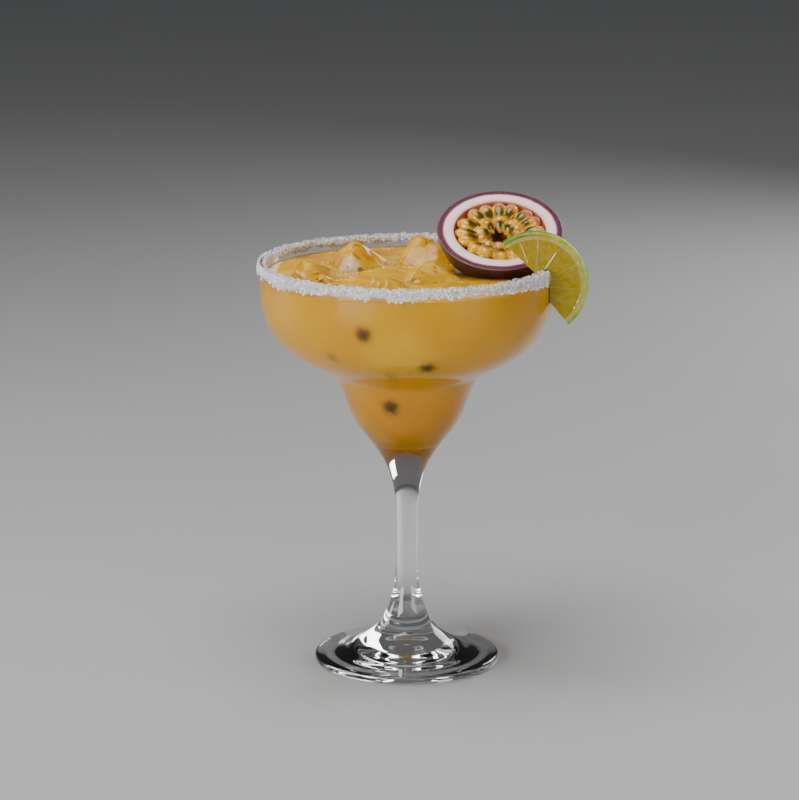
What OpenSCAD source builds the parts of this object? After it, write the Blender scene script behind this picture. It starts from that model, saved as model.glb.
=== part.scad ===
// Passion fruit margarita, served in its salt-rimmed stemmed glass.
// Origin: centre of the foot, on the table. +Z up, millimetres.
// +X is to the drinker's right, -Y is towards the drinker.

/* [Glass] */
// Height of the glass from the table to the lip
glass_h = 165; // [135:1:200]
// Outer diameter at the lip
rim_d = 118; // [96:1:142]
// Height of the upright band under the lip
rim_band = 10; // [8:0.5:14]
// Depth of the wide bowl, from the lip to the neck under it
bowl_h = 45.4; // [37:0.2:55]
// Outer diameter of that neck
waist_d = 60; // [50:1:72]
// Depth of the small cup, from the neck to where it turns in to the stem
cup_h = 20.3; // [16:0.1:25]
// Outer diameter at that turn
cup_d = 40.5; // [33:0.5:49]
// Diameter of the stem where it is slimmest
stem_d = 8.9; // [7:0.1:11]
// Height at which the stem has spread into the root of the foot
flare_h = 17.7; // [14:0.1:22]
// Diameter of the stem's root at that height
flare_d = 19; // [15:0.5:24]
// Diameter of the foot
foot_d = 75; // [60:1:92]
// Thickness of the foot at its edge
foot_edge = 3.2; // [2.5:0.1:4]
// Wall thickness at the lip
rim_wall = 1.8; // [1.5:0.1:2.4]
// Wall thickness of the small cup
cup_wall = 2.8; // [2:0.1:3.5]
// Depth of the cup's rounded floor below the turn
cup_floor = 6.6; // [5:0.1:8]

/* [Drink] */
// Distance from the lip down to the surface of the drink
drink_drop = 5; // [4:0.5:9]
// Clearance between the drink and all that stands in it
wet_gap = 0.05; // [0.04:0.01:0.1]

/* [Ice] */
// Edge of a full ice cube
ice_edge = 21.2; // [17:0.1:26]
// Radius of a melting cube's corners
ice_round = 4; // [2.5:0.1:5]

/* [Passion fruit] */
// Diameter of the halved fruit at its cut face
passion_d = 50.4; // [42:0.2:61]
// Depth of the half, from the cut face to its end
passion_depth = 18.6; // [15:0.2:23]
// Thickness of skin and pith together
passion_wall = 6.7; // [5.5:0.1:8.1]
// Lean of the cut face towards the drinker, degrees from level
passion_lean = 28.6; // [20:0.2:36]

/* [Lime] */
// Diameter of the lime wheel
lime_d = 42; // [35:0.5:51]
// Thickness of the slice
lime_t = 4.8; // [3.5:0.1:6]
// Slope of the straight cut edge, degrees below level
lime_slope = 50.2; // [42:0.2:58]
// Number of segments in the half wheel
lime_segments = 5; // [4:1:6]

/* [Salt] */
// Average depth of the salt down the outside of the lip
salt_out = 4.2; // [3:0.1:6]
// Average depth of the salt down the inside of the lip
salt_in = 3.2; // [2.5:0.1:4]
// Thickness of the salt crust
salt_t = 0.85; // [0.6:0.05:1.2]

/* [Hidden] */
$fn = 96;

rim_r = rim_d / 2;
foot_r = foot_d / 2;
drink_z = glass_h - drink_drop;
band_z = glass_h - rim_band;
waist_z = glass_h - bowl_h;
cup_z = waist_z - cup_h;
floor_z = cup_z - cup_floor;

// the stem is slimmest between these two shares of its length
slim_from = 0.29;
slim_to = 0.54;
stem_low_z = lerp(flare_h, cup_z, slim_from);
stem_top_z = lerp(flare_h, cup_z, slim_to);

// directions of the outer profile, travelling from the lip to the foot
waist_turn = -141;
cup_turn = -124;
flare_turn = -65;
foot_turn = -12;

// how firmly each stretch of the profile holds its direction at its two ends
bowl_hold = [0.57, 0.21];
cup_hold = [0.23, 0.34];
taper_hold = [0.27, 0.52];
root_hold = [0.48, 0.3];
foot_hold = [0.36, 0.25];
floor_hold = [0.32, 0.5];

// foot underside: width of the flat ring it stands on, rise of the hollow
seat_w = 3.5;
edge_round = 1.2;
hollow_rise = 1.5;
ripple_h = 0.22;
ripples = 4;

curve_steps = 14;
lip_steps = 6;

// salt: steps round the lip, clearance to the glass, thickness at its lower
// edges, its highest lumps as a share of its thickness, extra depth at the end
salt_steps = 118;
salt_gap = 0.06;
salt_edge = 0.3;
salt_bump = 1.33;
salt_end_drop = 2.2;
salt_end_reach = 16;

// halved fruit: radii and depth of shell and cavity
shell_r = passion_d / 2;
cavity_r = shell_r - passion_wall;
cavity_depth = passion_depth - passion_wall * 0.95;
pulp_gap = 0.1;
pulp_low = 2.4;
pulp_rise = 2.1;
aril_count = 15;

// centre of the cut face, from the nearest point of the lip, in shell radii;
// a notch in the skin seats on the salted lip
passion_turn = 13.9;
passion_in = 0.7925;
passion_side = 0.205;
passion_up = 0.44;
passion_rest = 0.1;
passion_at = [rim_r * cos(passion_turn) - passion_in * shell_r,
              rim_r * sin(passion_turn) - passion_side * shell_r,
              glass_h + passion_up * shell_r];
passion_front = passion_at[1] - shell_r * cos(passion_lean);

// lime: plane of the slice just in front of the fruit, slit over the wall;
// its centre from the lip, and the line that its inner half is trimmed back
// to, in lime radii
lime_r = lime_d / 2;
lime_clear = 0.4;
lime_in = 0.296;
lime_down = 0.28;
lime_y = passion_front - lime_t / 2 - lime_clear;
lime_rim_x = sqrt(rim_r * rim_r - lime_y * lime_y);
lime_at = [lime_rim_x - lime_in * lime_r, lime_y, glass_h - lime_down * lime_r];
lime_rind = 1.5;
lime_pith = 1.6;
lime_web = 0.9;
lime_core = 2.4;
lime_relief = 0.25;
lime_trim = [[-0.925, 0.045], [0, 0.167]];
slit_gap = 0.2;

// salt: the crust starts and stops a little clear of the lime's two faces
salt_stop = 0.2;
salt_from = asin((lime_y + lime_t / 2 + salt_stop) / (rim_r + salt_bump * salt_t));
salt_to = asin((lime_y - lime_t / 2 - salt_stop) / (rim_r - rim_wall - salt_bump * salt_t));
salt_sweep = 360 - (salt_from - salt_to);

// ice: place in shares of the lip radius, depth of the cube's centre under
// the surface in mm, tilts and turn in degrees, share of a full cube, seed
ICE = [[-0.345, 0.33, 5.3, [40, 33, 15], 1, 11],
       [0.12, 0.5, 5, [32, -38, 50], 1, 23],
       [-0.6, -0.1, 7.1, [18, 24, 35], 0.98, 37],
       [0.17, -0.17, 7.7, [30, -22, 65], 0.98, 41],
       [-0.1, -0.44, 5.3, [35, 20, 10], 0.62, 59]];
ice_wander = 0.13;

function lerp(a, b, t) = a + (b - a) * t;

// smooth span from p to q: its directions there in degrees, and how far each
// end holds its direction, as shares of the straight distance
function span(p, dir_p, q, dir_q, hold) =
    let (d = norm(q - p),
         a = p + d * hold[0] * [cos(dir_p), sin(dir_p)],
         b = q - d * hold[1] * [cos(dir_q), sin(dir_q)])
    [for (i = [1 : curve_steps])
        let (t = i / curve_steps, s = 1 - t)
        s * s * s * p + 3 * s * s * t * a + 3 * s * t * t * b + t * t * t * q];

// outer profile of the bowl, from under the lip down to the cup's turn
function bowl_outside() =
    concat(
        [[rim_r, glass_h - rim_wall / 2], [rim_r, band_z]],
        span([rim_r, band_z], -90, [waist_d / 2, waist_z], waist_turn, bowl_hold),
        span([waist_d / 2, waist_z], waist_turn, [cup_d / 2, cup_z], cup_turn, cup_hold));

// outer profile below the bowl: stem, spreading foot and its rounded edge
function stem_and_foot() =
    concat(
        span([cup_d / 2, cup_z], cup_turn, [stem_d / 2, stem_top_z], -90, taper_hold),
        [[stem_d / 2, stem_low_z]],
        span([stem_d / 2, stem_low_z], -90, [flare_d / 2, flare_h], flare_turn, root_hold),
        span([flare_d / 2, flare_h], flare_turn, [foot_r - edge_round, foot_edge], foot_turn,
             foot_hold),
        [for (a = [70 : -20 : -70])
            [foot_r - edge_round + edge_round * cos(a),
             foot_edge / 2 + foot_edge / 2 * sin(a)]],
        [[foot_r - edge_round, 0]]);

// hollow of the foot's underside, with its moulding ripples, to the axis
function foot_hollow() =
    let (r0 = foot_r - edge_round - seat_w)
    [for (i = [0 : 24])
        let (t = i / 24, wave = (1 - cos(360 * ripples * t)) / 2)
        [r0 * (1 - t), hollow_rise * sin(90 * t) + ripple_h * wave]];

// wall thickness at a height: even through the band, thicker to the cup
function wall_at(z) =
    lerp(rim_wall, cup_wall, min(1, max(0, (band_z - z) / (band_z - cup_z))));

// direction across a profile at one of its points, pointing to the axis
function inward(pts, i) =
    let (a = pts[max(0, i - 1)], b = pts[min(len(pts) - 1, i + 1)], d = (b - a) / norm(b - a))
    [d[1], -d[0]];

// inner face of the glass, from under the lip to the middle of the floor
function bowl_inside(gap) =
    let (o = bowl_outside(),
         side = [for (i = [0 : len(o) - 1]) o[i] + inward(o, i) * (wall_at(o[i][1]) + gap)],
         low = side[len(side) - 1])
    concat(side, span(low, cup_turn, [0, floor_z + gap], -180, floor_hold));

function lip() =
    [for (i = [1 : lip_steps - 1])
        let (a = 180 - 180 * i / lip_steps)
        [rim_r - rim_wall / 2 + rim_wall / 2 * cos(a),
         glass_h - rim_wall / 2 + rim_wall / 2 * sin(a)]];

function reversed(pts) = [for (i = [len(pts) - 1 : -1 : 0]) pts[i]];

module glass() {
    color([0.9, 0.94, 0.95, 0.35])
    rotate_extrude()
    polygon(concat(bowl_outside(), stem_and_foot(), foot_hollow(),
                   reversed(bowl_inside(0)), lip()));
}

// the liquid fills the bowl up to its surface, cut round what stands in it
module drink() {
    inner = [for (p = bowl_inside(wet_gap)) if (p[1] < drink_z) p];
    color([0.93, 0.62, 0.06])
    difference() {
        rotate_extrude()
        polygon(concat([[0, drink_z], [rim_r - rim_wall - wet_gap, drink_z]], inner));
        for (i = [0 : len(ICE) - 1])
            ice_cube(i, wet_gap);
        passion_space(wet_gap);
        lime_space(wet_gap);
    }
}

// one melting cube, its corners pulled in unevenly, grown by a clearance
module ice_cube(i, grow) {
    c = ICE[i];
    edge = ice_edge * c[4];
    r = ice_round * c[4];
    pull = rands(-ice_wander, 0.2 * ice_wander, 24, c[5]);
    translate([c[0] * rim_r, c[1] * rim_r, drink_z - c[2]])
    rotate(c[3])
    hull()
    for (k = [0 : 7]) {
        corner = [k % 2, floor(k / 2) % 2, floor(k / 4)] * 2 - [1, 1, 1];
        push = [for (a = [0 : 2]) corner[a] * (edge / 2 - r) * (1 + pull[3 * k + a])];
        translate(push) sphere(r + grow, $fn = 14);
    }
}

// an ice cube keeps clear of the fruit, of the lime and of the cubes before it
module ice(i) {
    color([0.95, 0.8, 0.45, 0.8])
    difference() {
        ice_cube(i, 0);
        passion_space(wet_gap);
        lime_space(wet_gap);
        for (k = [0 : 1 : i - 1])
            ice_cube(k, wet_gap);
    }
}

module place_passion() {
    translate(passion_at) rotate([passion_lean, 0, 0]) children();
}

function half_oval(r, depth, steps) =
    [for (i = [0 : steps]) let (a = 90 * i / steps) [r * cos(a), -depth * sin(a)]];

module passion_space(grow) {
    place_passion()
    rotate_extrude()
    polygon(concat([[0, grow], [shell_r + grow, grow]],
                   half_oval(shell_r + grow, passion_depth + grow, 14)));
}

// skin and pith of the halved fruit, with the cavity that holds the pulp and
// the notch that takes the lip with its salt
module passion_shell() {
    color([0.42, 0.16, 0.22])
    difference() {
        place_passion()
        rotate_extrude()
        polygon(concat(half_oval(shell_r, passion_depth, 14),
                       reversed(half_oval(cavity_r, cavity_depth, 12))));
        lip_slot(salt_gap + salt_bump * salt_t + passion_rest);
    }
}

// height of the pulp's top under the cut face: two rings of juice sacs
// round a hollow middle
function pulp_top(share, turn) =
    let (outer = max(0, 1 - pow((share - 0.74) / 0.3, 2)),
         inner = max(0, 1 - pow((share - 0.42) / 0.2, 2)),
         sacs_out = 0.45 + 0.55 * pow(cos(aril_count * turn / 2), 2),
         sacs_in = 0.5 + 0.5 * pow(cos(aril_count * 0.6 * turn / 2 + 20), 2),
         hole = max(0, 1 - pow(share / 0.26, 2)))
    -pulp_low + pulp_rise * max(outer * sacs_out, inner * sacs_in) - 2.6 * hole;

// one closed solid out to the uneven outline of the heap of sacs
module passion_pulp() {
    sides = 75;
    tops = 9;
    downs = 5;
    start = asin(pulp_low / cavity_depth);
    edge = (cavity_r - pulp_gap) * cos(start);
    pts = concat(
        [[0, 0, pulp_top(0, 0)]],
        [for (j = [1 : tops], i = [0 : sides - 1])
            let (s = j / tops, t = 360 * i / sides)
            [edge * s * cos(t), edge * s * sin(t), j == tops ? -pulp_low : pulp_top(s, t)]],
        [for (j = [1 : downs - 1], i = [0 : sides - 1])
            let (a = lerp(start, 90, j / downs), t = 360 * i / sides,
                 r = (cavity_r - pulp_gap) * cos(a))
            [r * cos(t), r * sin(t), -(cavity_depth - pulp_gap) * sin(a)]],
        [[0, 0, -cavity_depth + pulp_gap]]);
    rings = tops + downs - 1;
    last = len(pts) - 1;
    faces = concat(
        [for (i = [0 : sides - 1]) [0, 1 + (i + 1) % sides, 1 + i]],
        [for (j = [0 : rings - 2], i = [0 : sides - 1])
            let (a = 1 + j * sides + i, b = 1 + j * sides + (i + 1) % sides)
            [a, b, b + sides, a + sides]],
        [for (i = [0 : sides - 1])
            let (a = 1 + (rings - 1) * sides + i, b = 1 + (rings - 1) * sides + (i + 1) % sides)
            [a, b, last]]);
    color([0.93, 0.62, 0.12])
    place_passion()
    polyhedron(pts, [for (f = faces) reversed(f)], convexity = 6);
}

module place_lime() {
    translate(lime_at) rotate([0, lime_slope, 0]) rotate([90, 0, 0]) children();
}

module lime_space(grow) {
    place_lime()
    translate([0, -grow, -lime_t / 2 - grow])
    intersection() {
        cylinder(r = lime_r + grow, h = lime_t + 2 * grow);
        translate([-lime_d, 0, -1]) cube([2 * lime_d, lime_d, lime_t + 3]);
    }
}

// sunken flesh of one segment, between its membranes
module lime_segment(i) {
    step = 180 / lime_segments;
    r_out = lime_r - lime_rind - lime_pith;
    margin_in = asin(lime_web / 2 / lime_core / 1.6);
    margin_out = asin(lime_web / 2 / r_out);
    from = i * step;
    polygon(concat(
        [for (k = [0 : 6])
            let (a = lerp(from + margin_out, from + step - margin_out, k / 6))
            r_out * [cos(a), sin(a)]],
        [1.6 * lime_core * [cos(from + step - margin_in), sin(from + step - margin_in)],
         1.6 * lime_core * [cos(from + margin_in), sin(from + margin_in)]]));
}

// half wheel of lime, hooked over the lip by a slit that follows the wall
module lime_slice() {
    edge = 0.7;
    half_t = lime_t / 2;
    color([0.62, 0.75, 0.12])
    difference() {
        place_lime()
        difference() {
            rotate_extrude(angle = 180)
            polygon([[0, -half_t], [lime_r - edge, -half_t], [lime_r, -half_t + edge],
                     [lime_r, half_t - edge], [lime_r - edge, half_t], [0, half_t]]);
            linear_extrude(2 * lime_t, center = true)
            polygon([[-2 * lime_r, -lime_r], [-2 * lime_r, lime_trim[0][1] * lime_r],
                     lime_trim[0] * lime_r, lime_trim[1] * lime_r, [0, -lime_r]]);
            for (i = [0 : lime_segments - 1], side = [-1, 1])
                translate([0, 0, side * half_t])
                linear_extrude(2 * lime_relief, center = true)
                lime_segment(i);
        }
        lip_slot(slit_gap);
    }
}

// ring-shaped slot that the lip and wall pass through, with room all round
module lip_slot(room) {
    o = bowl_outside();
    outer = [for (i = [0 : len(o) - 1]) if (o[i][1] > waist_z) o[i] - inward(o, i) * room];
    inner = [for (p = bowl_inside(room)) if (p[1] > waist_z) p];
    top = glass_h + room;
    rotate_extrude()
    polygon(concat([[inner[0][0], top], [rim_r + room, top]], outer, reversed(inner)));
}

// ragged lower edge of the salt at a turn round the lip
function ragged(turn, k) =
    0.45 * sin(7 * turn + 40 * k) + 0.35 * sin(19 * turn) + 0.3 * sin(43 * turn + 90 * k);

function salt_drop_out(turn, away) =
    salt_out + salt_end_drop * exp(-pow(away / salt_end_reach, 2)) + 0.7 * pow(sin(turn / 2), 4)
    + ragged(turn, 0);

function salt_drop_in(turn) = salt_in + 0.8 * ragged(turn, 1);

// glass side of the salt: up the outside, over the lip, down the inside
function salt_inner_face(low_out, low_in) =
    let (w = rim_wall / 2, c = [rim_r - w, glass_h - w], r = (w + salt_gap) / cos(22.5))
    concat([[rim_r + salt_gap, glass_h - low_out]],
           [for (a = [0 : 45 : 180]) c + r * [cos(a), sin(a)]],
           [[rim_r - rim_wall - salt_gap, glass_h - low_in]]);

// open side of the salt, lumpy and thin at its lower edges
function salt_outer_face(low_out, low_in, t) =
    let (w = rim_wall / 2, c = [rim_r - w, glass_h - w])
    concat([[rim_r + salt_gap + salt_edge, glass_h - low_out]],
           [for (a = [0 : 45 : 180]) c + (w + t * (a == 90 ? 0.75 : 1)) * [cos(a), sin(a)]],
           [[rim_r - rim_wall - salt_gap - salt_edge, glass_h - low_in]]);

module salt_rim() {
    m = 7;
    pts = [for (i = [0 : salt_steps])
        let (turn = salt_from + salt_sweep * i / salt_steps,
             away = salt_sweep * (1 - i / salt_steps),
             out = salt_drop_out(turn, away),
             in = salt_drop_in(turn),
             t = salt_t * (1 + 0.18 * sin(23 * turn) + 0.15 * sin(61 * turn)))
        for (p = concat(salt_outer_face(out, in, t), reversed(salt_inner_face(out, in))))
            [p[0] * cos(turn), p[0] * sin(turn), p[1]]];
    n = 2 * m;
    caps = [for (base = [0, salt_steps * n], j = [0 : m - 2])
        let (q = [base + j, base + j + 1, base + n - 2 - j, base + n - 1 - j])
        base == 0 ? q : reversed(q)];
    sides = [for (i = [0 : salt_steps - 1], j = [0 : n - 1])
        let (a = i * n + j, b = i * n + (j + 1) % n)
        [a, a + n, b + n, b]];
    color([0.97, 0.97, 0.97])
    polyhedron(pts, concat(sides, caps), convexity = 8);
}

glass();
drink();
ice(0);  // ice_1
ice(1);  // ice_2
ice(2);  // ice_3
ice(3);  // ice_4
ice(4);  // ice_5
passion_shell();
passion_pulp();
lime_slice();
salt_rim();
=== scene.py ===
import math

import bmesh
import bpy
import numpy as np
from mathutils import Matrix, Vector
from mathutils.bvhtree import BVHTree
from mathutils.kdtree import KDTree


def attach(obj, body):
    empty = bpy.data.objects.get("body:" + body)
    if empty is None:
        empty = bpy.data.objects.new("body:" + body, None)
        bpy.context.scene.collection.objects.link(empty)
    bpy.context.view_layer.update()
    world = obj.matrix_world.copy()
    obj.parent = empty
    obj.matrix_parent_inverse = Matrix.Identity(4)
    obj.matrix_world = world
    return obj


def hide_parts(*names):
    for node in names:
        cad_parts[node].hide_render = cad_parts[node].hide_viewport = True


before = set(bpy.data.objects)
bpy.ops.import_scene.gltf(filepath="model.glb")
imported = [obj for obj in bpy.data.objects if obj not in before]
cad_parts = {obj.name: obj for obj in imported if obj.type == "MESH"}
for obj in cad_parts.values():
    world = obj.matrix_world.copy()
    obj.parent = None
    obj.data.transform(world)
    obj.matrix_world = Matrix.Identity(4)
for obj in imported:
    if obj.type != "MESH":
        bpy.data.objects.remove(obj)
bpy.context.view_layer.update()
root = "root"
MM = 0.001

# ---- sizes, mm
GLASS_H = 165
RIM_R = 59
RIM_BAND = 10
BOWL_H = 45.4
WAIST_R = 30
CUP_H = 20.3
CUP_R = 20.25
STEM_R = 4.45
FLARE_H = 17.7
FLARE_R = 9.5
FOOT_R = 37.5
FOOT_EDGE = 3.2
RIM_WALL = 1.8
CUP_WALL = 2.8
CUP_FLOOR = 6.6
DRINK_Z = GLASS_H - 5
BAND_Z = GLASS_H - RIM_BAND
WAIST_Z = GLASS_H - BOWL_H
CUP_Z = WAIST_Z - CUP_H
SHELL_R = 25.2
SHELL_DEPTH = 18.6
SHELL_WALL = 6.7
CAVITY_R = SHELL_R - SHELL_WALL
CAVITY_DEPTH = SHELL_DEPTH - SHELL_WALL * 0.95
LEAN = 28.6
FRUIT_TURN = math.radians(13.9)
FRUIT_AT = Vector((RIM_R * math.cos(FRUIT_TURN) - 0.7925 * SHELL_R,
                   RIM_R * math.sin(FRUIT_TURN) - 0.205 * SHELL_R,
                   GLASS_H + 0.44 * SHELL_R))
LIME_R = 21
LIME_T = 4.8
LIME_SLOPE = 50.2
LIME_Y = FRUIT_AT.y - SHELL_R * math.cos(math.radians(LEAN)) - LIME_T / 2 - 0.4
LIME_AT = Vector((math.sqrt(RIM_R ** 2 - LIME_Y ** 2) - 0.296 * LIME_R, LIME_Y,
                  GLASS_H - 0.28 * LIME_R))
WALL_SINK = 0.45  # how far the drink reaches into the glass's wall
SURFACE_DROP = 0.6  # from the top of the drink's raised edge to its flat surface
ICE_SINK = 0.35  # how far the drink reaches into the ice
FRUIT_ROOM = 1.29  # round the lip, in the fruit's notch
LIME_ROOM = 0.3  # round the lip, in the lime's slit
NOTCH_FROM = WAIST_Z + 12  # height where the notches' ring starts, well below both
SALT_CLEAR = 0.2  # between the salt's ends and the lime
SALT_PROUD = 1.13  # the most that the salt stands out from the glass
chance = np.random.default_rng(7)


def turn_by(degrees, axis):
    return Matrix.Rotation(math.radians(degrees), 4, axis)


FRUIT_PLACE = Matrix.Translation(FRUIT_AT) @ turn_by(LEAN, "X")
LIME_PLACE = Matrix.Translation(LIME_AT) @ turn_by(LIME_SLOPE, "Y") @ turn_by(90, "X")
TO_METRES = Matrix.Scale(MM, 4)


# ---- shader helpers
def put(tree, kind, props=None, **inputs):
    """A shader or geometry node with its settings and inputs; iN means input N."""
    made = tree.nodes.new(kind)
    for key, value in (props or {}).items():
        setattr(made, key, value)
    for key, value in inputs.items():
        place = int(key[1:]) if key[0] == "i" and key[1:].isdigit() else key.replace("_", " ")
        if isinstance(value, bpy.types.NodeSocket):
            tree.links.new(value, made.inputs[place])
        else:
            made.inputs[place].default_value = value
    return made


def calc(operation, a, b=0.0):
    return put(a.id_data, "ShaderNodeMath", {"operation": operation}, i0=a, i1=b).outputs[0]


def times(a, b):
    return calc("MULTIPLY", a, b)


def blend(share, a, b):
    a, b = (v if isinstance(v, bpy.types.NodeSocket) else (*v, 1) for v in (a, b))
    return put(share.id_data, "ShaderNodeMix", {"data_type": "RGBA"},
               i0=share, i6=a, i7=b).outputs[2]


def ramp(share, stops):
    made = put(share.id_data, "ShaderNodeValToRGB", Fac=share)
    band = made.color_ramp.elements
    while len(band) < len(stops):
        band.new(0.5)
    for spot, (at, colour) in zip(band, stops):
        spot.position = at
        spot.color = (*colour, 1)
    return made.outputs[0]


def share_from(value, low, high):
    """How far a value has come from low to high."""
    return put(value.id_data, "ShaderNodeMapRange", Value=value, From_Min=low,
               From_Max=high).outputs[0]


def grey(share, stops):
    return ramp(share, [(at, (v, v, v)) for at, v in stops])


def noise(where, scale, detail=3.0, rough=0.55, distort=0.0):
    return put(where.id_data, "ShaderNodeTexNoise", Vector=where, Scale=scale, Detail=detail,
               Roughness=rough, Distortion=distort).outputs[0]


def cells(where, scale, feature="F1"):
    return put(where.id_data, "ShaderNodeTexVoronoi", {"feature": feature}, Vector=where,
               Scale=scale).outputs["Distance"]


def parts(v):
    return put(v.id_data, "ShaderNodeSeparateXYZ", Vector=v).outputs


def vector(operation, a, b):
    return put(a.id_data, "ShaderNodeVectorMath", {"operation": operation}, i0=a, i1=b).outputs


def around(where, spot, reach, stops):
    """Grey by the distance from a spot; the stops are shares of the reach in m."""
    far = vector("DISTANCE", where, spot)["Value"]
    return grey(calc("DIVIDE", far, reach), stops)


def own(where, name):
    """A number that the piece's points carry, for the shader that where is in."""
    return put(where.id_data, "ShaderNodeAttribute", {"attribute_name": name}).outputs["Fac"]


def relief(height, distance, strength=1.0, under=None):
    under = {} if under is None else {"Normal": under}
    return put(height.id_data, "ShaderNodeBump", Height=height, Distance=distance,
               Strength=strength, **under).outputs[0]


def finish_of(name, soft=(), **inputs):
    """A material with one Principled shader, its constants set on its own sockets;
    soft is its subsurface weight, scale and radius. Gives the function that feeds
    its other sockets and returns it, and the place in the piece."""
    made = bpy.data.materials.new(name)
    made.use_nodes = True
    tree = made.node_tree
    skin = tree.nodes["Principled BSDF"]
    inputs.update(zip(("Subsurface_Weight", "Subsurface_Scale", "Subsurface_Radius"), soft))
    for key, value in inputs.items():
        skin.inputs[key.replace("_", " ")].default_value = value

    def feed(**sources):
        for key, source in sources.items():
            tree.links.new(source, skin.inputs[key.replace("_", " ")])
        return made

    return feed, put(tree, "ShaderNodeTexCoord").outputs["Object"]


# ---- mesh helpers
def show(name, data):
    made = bpy.data.objects.new(name, data)
    bpy.context.scene.collection.objects.link(made)
    return made


def mesh_of(name, points, faces):
    """A mesh from points in mm and faces."""
    mesh = bpy.data.meshes.new(name)
    mesh.from_pydata((np.asarray(points, float) * MM).tolist(), [], [list(f) for f in faces])
    return mesh


def piece_from(name, points, faces, material, smooth=True):
    """A piece with its place in its mesh."""
    mesh = mesh_of(name, points, faces)
    mesh.materials.append(material)
    mesh.update()
    if smooth:
        mesh.shade_smooth()
    return show(name, mesh)


def band_faces(rows, cols, wrap=True):
    """Quads of a grid of points, numbered row by row; each row is a loop if wrap."""
    return [(r * cols + c, r * cols + (c + 1) % cols,
             (r + 1) * cols + (c + 1) % cols, (r + 1) * cols + c)
            for r in range(rows - 1) for c in range(cols if wrap else cols - 1)]


def points_of(mesh):
    flat = np.empty(len(mesh.vertices) * 3)
    mesh.vertices.foreach_get("co", flat)
    return flat.reshape(-1, 3)


def set_points(mesh, points):
    mesh.vertices.foreach_set("co", np.asarray(points, float).ravel())
    mesh.update()


def give(mesh, name, values):
    """Writes one number per point, which the piece's material reads."""
    made = mesh.attributes.new(name, "FLOAT", "POINT")
    made.data.foreach_set("value", np.asarray(values, np.float32))


def settled(made):
    """The evaluated shape as a plain mesh, with the modifiers gone."""
    graph = bpy.context.evaluated_depsgraph_get()
    graph.update()
    mesh = bpy.data.meshes.new_from_object(made.evaluated_get(graph))
    old = made.data
    made.modifiers.clear()
    made.data = mesh
    mesh.name = made.name
    bpy.data.meshes.remove(old)


def lumps(points, size, seed=0.0):
    """Smooth uneven values from -1 to 1 at points, with lumps of about that size."""
    p = np.asarray(points, float) / size * 2.1 + seed
    total = np.zeros(len(p))
    for k, (a, b, c) in enumerate(((1, 0.3, 0.2), (-0.4, 1.1, 0.3), (0.2, -0.5, 1.2),
                                   (0.9, 0.8, -0.6), (-0.7, 0.6, 1.0))):
        total += np.sin(p @ np.array((a, b, c)) + 1.7 * k + np.cos(p @ np.array((c, a, b)) * 1.3))
    return total / 3.2


def move(mesh, place):
    """Sets a mesh in a place whose distances are in mm."""
    mesh.transform(TO_METRES @ place @ TO_METRES.inverted())
    mesh.update()


def cut_out(made, cutter):
    """Takes a cutter's space out of a piece, and the cutter away."""
    cut = made.modifiers.new("cut", "BOOLEAN")
    cut.operation, cut.solver, cut.object = "DIFFERENCE", "EXACT", cutter
    settled(made)
    bpy.data.objects.remove(cutter)


def melt(made, finish, grain, soften, rounds):
    """Remakes a piece as one smooth skin, with a grain in mm."""
    skin = made.modifiers.new("melt", "REMESH")
    skin.mode, skin.voxel_size = "VOXEL", grain * MM
    smooth = made.modifiers.new("smooth", "SMOOTH")
    smooth.factor, smooth.iterations = soften, rounds
    settled(made)
    wear(made.data, finish)
    made.data.shade_smooth()


def nearest(middles, points):
    """Which of the middles each point is nearest to."""
    tree = KDTree(len(middles))
    for k, at in enumerate(middles):
        tree.insert(at, k)
    tree.balance()
    return np.array([tree.find(at)[1] for at in points])


def round_axis(r, z, turn):
    """Points at a radius, height and turn about the upright axis."""
    return np.stack((r * np.cos(turn), r * np.sin(turn), z), -1)


def arc_points(middle, radii, start, end, count):
    """Points of an arc about a middle, from start to end in degrees."""
    turns = np.radians(np.linspace(start, end, count))[:, None]
    return np.array(middle) + np.array(radii) * np.hstack((np.cos(turns), np.sin(turns)))


# ---- profile of the glass
def span(p, dir_p, q, dir_q, hold, steps=26):
    """Smooth stretch from p to q, held to its directions (degrees) at its ends."""
    def way(turn):
        return np.array((math.cos(math.radians(turn)), math.sin(math.radians(turn))))

    p, q = np.array(p, float), np.array(q, float)
    far = np.linalg.norm(q - p)
    a = p + far * hold[0] * way(dir_p)
    b = q - far * hold[1] * way(dir_q)
    t = np.linspace(0, 1, steps + 1)[1:, None]
    s = 1 - t
    return s ** 3 * p + 3 * s * s * t * a + 3 * s * t * t * b + t ** 3 * q


def bowl_outside():
    return np.vstack((
        [(RIM_R, z) for z in np.linspace(GLASS_H - RIM_WALL / 2, BAND_Z, 5)],
        span((RIM_R, BAND_Z), -90, (WAIST_R, WAIST_Z), -141, (0.57, 0.21)),
        span((WAIST_R, WAIST_Z), -141, (CUP_R, CUP_Z), -124, (0.23, 0.34))))


def stem_and_foot():
    low, high = (FLARE_H + (CUP_Z - FLARE_H) * s for s in (0.29, 0.54))
    edge_r = 1.2
    return np.vstack((
        span((CUP_R, CUP_Z), -124, (STEM_R, high), -90, (0.27, 0.52)),
        [(STEM_R, z) for z in np.linspace(high, low, 6)[1:]],
        span((STEM_R, low), -90, (FLARE_R, FLARE_H), -65, (0.48, 0.3)),
        span((FLARE_R, FLARE_H), -65, (FOOT_R - edge_r, FOOT_EDGE), -12, (0.36, 0.25)),
        arc_points((FOOT_R - edge_r, FOOT_EDGE / 2), (edge_r, FOOT_EDGE / 2), 70, -78, 12),
        [(FOOT_R - edge_r, 0)]))


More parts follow.
